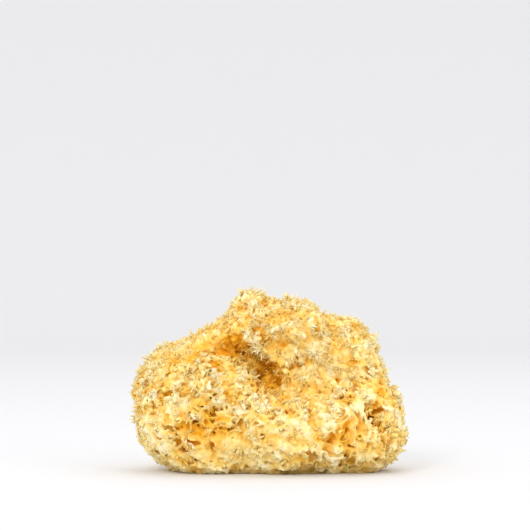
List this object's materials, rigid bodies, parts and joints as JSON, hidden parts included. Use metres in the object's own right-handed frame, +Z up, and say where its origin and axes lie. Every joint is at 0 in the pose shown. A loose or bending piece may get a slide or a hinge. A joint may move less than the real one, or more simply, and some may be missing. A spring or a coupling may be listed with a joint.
{
  "type": "natural sea sponge",
  "caption": "Dried natural sea sponge: rounded lobes with a deep fold under a woolly crown, lacy pores and canal mouths, cut flat underneath where it grew on rock.",
  "frame": {"origin": "middle of the underside, in the plane of the flat cut that it rests on", "axes": "+Z up from the cut, +X to the right along the sponge's longest extent, -Y towards its front, where the fold under the crown is"},
  "size_m": [0.152, 0.1, 0.1],
  "materials": {
    "skeleton": "dry, matt, honey-yellow spongin fibre, darker amber in its pores and folds"
  },
  "bodies": {
    "root": {"sponge": "skeleton"}
  },
  "joints": []
}
